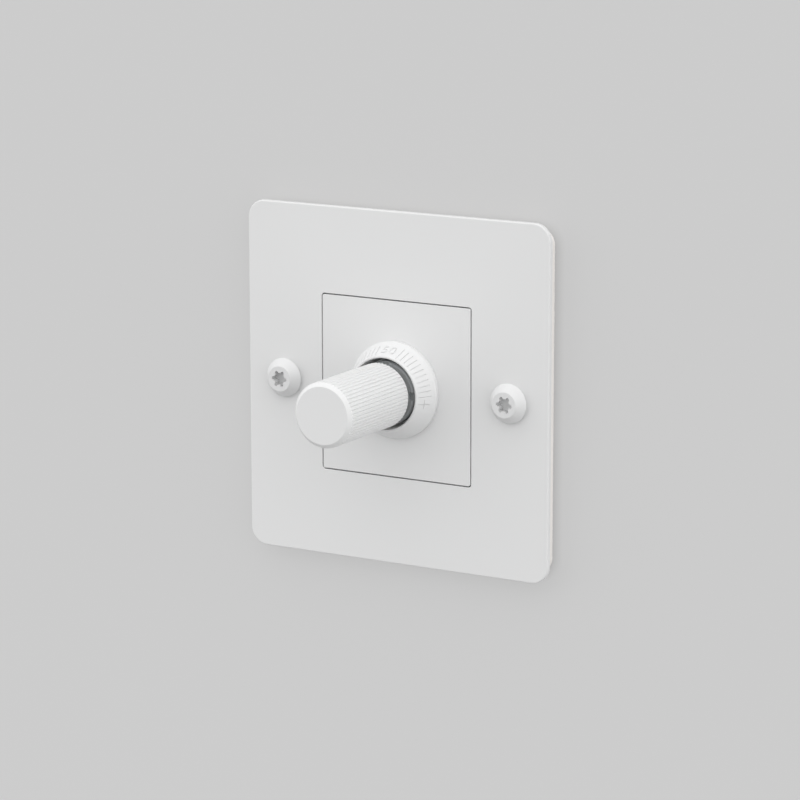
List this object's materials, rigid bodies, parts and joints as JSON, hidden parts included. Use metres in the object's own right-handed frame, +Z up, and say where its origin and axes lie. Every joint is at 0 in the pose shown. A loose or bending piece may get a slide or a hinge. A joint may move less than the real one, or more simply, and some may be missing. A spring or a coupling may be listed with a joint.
{
  "type": "wall dimmer switch",
  "caption": "Square wall dimmer with a fluted turn-and-push knob on a graduated dial ring, white face plate on a backing frame, held by visible screws.",
  "frame": {"origin": "on the wall plane, midway between the two fixing screws", "axes": "+Z up, +Y into the wall along the screws and the knob's axis, +X to the right for someone facing the plate"},
  "size_m": [0.08, 0.066, 0.0834],
  "materials": {
    "white_plate": "fine satin moulded plastic",
    "white_knob": "satin moulded plastic",
    "white_ring": "satin moulded plastic with engraved marks",
    "frame_plastic": "matt moulded plastic",
    "white_screw": "satin white paint on the head, bare thread",
    "zinc_steel": "zinc plated sheet steel",
    "black_steel": "black oxide",
    "brass": "turned brass",
    "grey_housing": "fine spark-eroded texture",
    "inner_plastic": "moulded plastic",
    "aluminium": "mill finish sheet",
    "board": "solder mask",
    "film_yellow": "moulded case",
    "copper": "enamelled wire",
    "ferrite": "sintered",
    "ceramic_tube": "tube with metal caps"
  },
  "bodies": {
    "base": {"adapter_frame": "inner_plastic", "backing_frame": "frame_plastic", "bush_nut": "black_steel", "carrier_plate": "zinc_steel", "choke_core": "ferrite", "choke_winding": "copper", "circuit_board": "board", "control_case": "inner_plastic", "controller_chip": "inner_plastic", "dial_ring": "white_ring", "face_plate": "white_plate", "film_capacitor": "film_yellow", "fixed_contacts": "brass", "fixing_screw_left": "white_screw", "fixing_screw_right": "white_screw", "fuse": "ceramic_tube", "fuse_clip_lower": "brass", "fuse_clip_upper": "brass", "heat_sink": "aluminium", "housing_screw_1": "zinc_steel", "housing_screw_2": "zinc_steel", "insert_plate": "white_plate", "lock_washer": "zinc_steel", "module_housing": "grey_housing", "power_transistor_1": "inner_plastic", "power_transistor_2": "inner_plastic", "return_spring": "zinc_steel", "smoothing_capacitor": "black_steel", "switch_case": "inner_plastic", "terminal_block": "inner_plastic", "terminal_clamp_1": "brass", "terminal_clamp_2": "brass", "terminal_clamp_3": "brass", "terminal_screw_1": "zinc_steel", "terminal_screw_2": "zinc_steel", "terminal_screw_3": "zinc_steel", "threaded_bush": "brass", "track_board": "board"},
    "rotor": {"control_rotor": "inner_plastic", "wiper_spring": "brass"},
    "knob": {"knob": "white_knob", "knob_bushing": "brass", "knob_grip_ring": "zinc_steel", "spindle": "zinc_steel", "spindle_clip": "black_steel"},
    "plunger": {"switch_plunger": "inner_plastic", "contact_bridge": "brass"}
  },
  "joints": [
    {"name": "dial_turn", "type": "hinge", "parent": "base", "child": "rotor", "pos_m": [0, 0, 0], "axis": [0, 1, 0], "range_deg": [-98, 98]},
    {"name": "knob_push", "type": "slide", "parent": "rotor", "child": "knob", "axis": [0, 1, 0], "range_m": [0, 0.0015], "stiffness_N_per_m": 1500, "springref_m": -0.002, "deforming": ["return_spring"]},
    {"name": "plunger_slide", "type": "slide", "parent": "base", "child": "plunger", "axis": [0, 1, 0], "range_m": [0, 0.0015]}
  ],
  "couplings": [
    {"joint": "plunger_slide", "follows": "knob_push", "ratio": 1}
  ]
}
